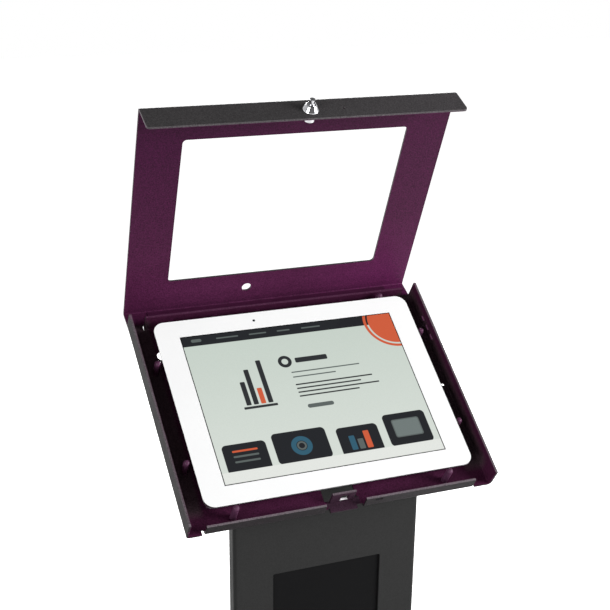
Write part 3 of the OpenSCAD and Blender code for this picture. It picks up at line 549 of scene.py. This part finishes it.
def screen():
    """Lit display in black glass."""
    shader = Shader("screen")
    x = shader.product(shader.sideways(), 1.0 / MM)
    y = shader.product(shader.along(GLASS, TRAY_V), 1.0 / MM)

    def past(value, middle, half):
        off = shader.math("ABSOLUTE", shader.math("SUBTRACT", value, middle))
        return shader.math("MAXIMUM", shader.math("SUBTRACT", off, half), 0.0)

    def reach(dx, dy):
        squares = shader.math("ADD", shader.product(dx, dx), shader.product(dy, dy))
        return shader.math("SQRT", squares)

    def box(across, up, half_width, half_height, corner):
        off = reach(past(x, across, half_width - corner), past(y, up, half_height - corner))
        return shader.spread(off, corner - SOFT_EDGE, corner + SOFT_EDGE, 1.0, 0.0)

    def ring(across, up, radius, half):
        middle = reach(shader.math("SUBTRACT", x, across), shader.math("SUBTRACT", y, up))
        off = shader.math("ABSOLUTE", shader.math("SUBTRACT", middle, radius))
        return shader.spread(off, half - SOFT_EDGE, half + SOFT_EDGE, 1.0, 0.0)

    page = shader.mix(shader.spread(y, *PAGE_FADE), srgb(214, 221, 214), srgb(198, 209, 200))
    for *place, colour in BOXES:
        page = shader.mix(box(*place), page, colour)
    for *place, colour in RINGS:
        page = shader.mix(ring(*place), page, colour)
    page = shader.mix(box(*FOOT_STRIP), page, STRIP)
    fine = shader.noise(2200.0, 1.0)
    level = shader.product(box(*LIT_PANEL), shader.spread(fine, 0.3, 0.7, 0.95, 1.03))
    dark = shader.mix(fine, srgb(14, 14, 16), srgb(20, 20, 22))
    return shader.set(base_color=dark,
                      roughness=shader.spread(shader.noise(80.0), 0.3, 0.7, 0.05, 0.1),
                      emission_color=shader.scaled(page, level), emission_strength=1.0,
                      specular_ior_level=0.2)


def dress(material, *names):
    for name in names:
        node = nodes[name]
        node.data.materials.clear()
        node.data.materials.append(material)


dress(tray_paint(), "tray")
dress(lid_paint(), "lid_frame")
dress(plain_paint("purple_paint", PURPLE),
      "hinge_leaf_tray", "hinge_leaf_lid", "hinge_pin", "hinge_rivets_tray")
dress(plain_paint("post_paint", POST_PURPLE, POST_SPECKLE, POST_ROUGHNESS), "locating_posts")
dress(plain_paint("charcoal_paint", CHARCOAL),
      "base_plate", "column_spine", "column_fascia", "service_cover", "head_plate",
      "hinge_rivets_lid")
dress(zinc(), "base_bolts", "foot_flange", "insert_rails", "fascia_nuts", "cover_screws",
      "head_screws", "head_nuts", "key_plug")
dress(panel_black(), "insert_panel")
dress(rubber(), "base_pads", "cable_gland", "rest_pads")
dress(chrome(), "lock_body", "lock_clip", "lock_plunger")
dress(aluminium(), "tablet_shell", "power_button", "volume_rocker")
dress(white_glass(), "tablet_front")
dress(screen(), "tablet_display")
dress(lens_glass(), "camera_lens")
dress(foil(), "tablet_battery")
dress(solder_mask(), "tablet_board")

WELD_GAP = 1e-6
FLAT_ANGLE = math.radians(0.5)
SHARP_ANGLE = math.radians(35)


def soften(width, *names, whole=False):
    """Breaks the sharp edges of what is shown, with flat faces made whole first where asked."""
    for name in names:
        node = nodes[name]
        weld = node.modifiers.new("weld", "WELD")
        weld.merge_threshold = WELD_GAP
        if whole:
            flat = node.modifiers.new("flat", "DECIMATE")
            flat.decimate_type = "DISSOLVE"
            flat.angle_limit = FLAT_ANGLE
        bevel = node.modifiers.new("bevel", "BEVEL")
        bevel.width = width
        bevel.segments = 2
        bevel.limit_method = "ANGLE"
        bevel.angle_limit = SHARP_ANGLE
        bevel.use_clamp_overlap = True
        bevel.miter_outer = "MITER_ARC"
        normals = node.modifiers.new("normals", "WEIGHTED_NORMAL")
        normals.weight = 100
        normals.keep_sharp = False


soften(0.3 * MM, "lid_frame", "tray", "column_fascia", "service_cover", "tablet_front", whole=True)
soften(0.8 * MM, "base_plate", whole=True)
soften(0.35 * MM, "lock_body", "lock_plunger", "lock_clip")
soften(0.5 * MM, "head_screws", "cover_screws")

FLOOR_HALF = 9.0
FLOOR_Z = -0.2 * MM

# Floor's glow by distance from the stand: from, to, and the strengths there
SEEN_GLOW = (0.8, 1.6, 0.65, 1.0)
NEAR_MIRRORED = (0.6, 1.4, 0.35, 0.62)
FAR_MIRRORED = (2.5, 5.0, 0.0, 0.38)


def floor():
    """Pale floor with the stand's shadow, white further out and greyer in reflections."""
    corners = [(x * FLOOR_HALF, y * FLOOR_HALF, 0) for x, y in ((-1, -1), (1, -1), (1, 1), (-1, 1))]
    mesh = bpy.data.meshes.new("floor")
    mesh.from_pydata(corners, [], [(0, 1, 2, 3)])
    plane = bpy.data.objects.new("floor", mesh)
    plane.location.z = FLOOR_Z
    scene.collection.objects.link(plane)
    shader = Shader("floor")
    tone = shader.mix(shader.noise(40.0, 3.0), srgb(178, 178, 178), srgb(184, 184, 184))
    shader.set(base_color=tone, roughness=0.8, specular_ior_level=0.1)
    path = shader.tree.nodes.new("ShaderNodeLightPath").outputs
    reach = shader.vector("LENGTH", shader.place)
    seen = shader.product(path["Is Camera Ray"], shader.spread(reach, *SEEN_GLOW))
    level = shader.math("ADD", shader.spread(reach, *NEAR_MIRRORED),
                        shader.spread(reach, *FAR_MIRRORED))
    mirrored = shader.product(
        shader.math("MAXIMUM", path["Is Glossy Ray"], path["Is Transmission Ray"]), level)
    glow = shader.tree.nodes.new("ShaderNodeEmission")
    glow.inputs["Color"].default_value = WHITE
    shader.put(glow.inputs["Strength"], shader.math("MAXIMUM", seen, mirrored))
    both = shader.tree.nodes.new("ShaderNodeAddShader")
    shader.put(both.inputs[0], shader.surface.outputs[0])
    shader.put(both.inputs[1], glow.outputs[0])
    shader.put(shader.tree.nodes["Material Output"].inputs["Surface"], both.outputs[0])
    mesh.materials.append(shader.material)


ROOM_LIGHT = 0.12

# Strength of the room in reflections, by its direction's y and z: from, to, and the strengths there
BACK_FADE = (-0.5, 0.1, 0.15, 1.0)
ABOVE_FADE = (0.2, 0.6, 1.0, 0.2)


def studio():
    """White room, which reflections see darker behind the camera and overhead."""
    world = bpy.data.worlds.new("studio")
    scene.world = world
    world.use_nodes = True
    tree = world.node_tree

    def node(kind, *values, operation=None):
        made = tree.nodes.new(kind)
        if operation:
            made.operation = operation
        for socket, value in zip(made.inputs, values):
            if isinstance(value, bpy.types.NodeSocket):
                tree.links.new(value, socket)
            else:
                socket.default_value = value
        return made.outputs

    def largest(first, second):
        return node("ShaderNodeMath", first, second, operation="MAXIMUM")[0]

    light = tree.nodes["Background"]
    light.inputs["Color"].default_value = WHITE
    light.inputs["Strength"].default_value = ROOM_LIGHT
    way = node("ShaderNodeSeparateXYZ", node("ShaderNodeTexCoord")["Generated"])
    back = node("ShaderNodeMapRange", way["Y"], *BACK_FADE)[0]
    above = node("ShaderNodeMapRange", way["Z"], *ABOVE_FADE)[0]
    mirrored = node("ShaderNodeMath", back, above, operation="MULTIPLY")[0]
    path = node("ShaderNodeLightPath")
    camera_ray = path["Is Camera Ray"]
    backdrop = node("ShaderNodeBackground", WHITE, largest(mirrored, camera_ray))[0]
    seen = largest(largest(camera_ray, path["Is Glossy Ray"]), path["Is Transmission Ray"])
    choice = node("ShaderNodeMixShader", seen, light.outputs[0], backdrop)[0]
    tree.links.new(choice, tree.nodes["World Output"].inputs["Surface"])


LAMPS = [
    # name, place, target, width and height, watts
    ("left", (-2.3, -1.5, 1.55), (0.0, 0.1, 0.95), (1.4, 1.4), 50.0),
    ("right", (2.3, -1.5, 1.6), (0.0, 0.1, 0.95), (1.4, 1.4), 120.0),
    ("low", (0.9, -1.8, 0.25), (0.0, 0.0, 0.9), (1.6, 0.8), 8.0),
    ("back", (0.9, 2.6, 1.0), (0.0, 0.1, 0.8), (1.6, 1.6), 110.0),
]


def lamp(name, place, target, size, watts):
    data = bpy.data.lights.new(name, "AREA")
    data.shape = "RECTANGLE"
    data.size, data.size_y = size
    data.energy = watts
    made = bpy.data.objects.new(name, data)
    made.location = place
    made.rotation_mode = "QUATERNION"
    made.rotation_quaternion = (Vector(target) - Vector(place)).to_track_quat("-Z", "Y")
    scene.collection.objects.link(made)


def camera():
    """Camera fitted to the photograph's edges, with the shift that its crop needs."""
    data = bpy.data.cameras.new("camera")
    data.sensor_width = 36.0
    data.lens = 72.661
    data.shift_x = -0.042770
    data.shift_y = 0.123377
    data.clip_end = 60.0
    made = bpy.data.objects.new("camera", data)
    made.location = (-0.360896, -0.845324, 1.364545)
    made.rotation_euler = [math.radians(angle) for angle in (67.5948, -1.0299, -22.2131)]
    scene.collection.objects.link(made)
    scene.camera = made


floor()
studio()
for row in LAMPS:
    lamp(*row)
camera()
scene.view_settings.view_transform = "Standard"
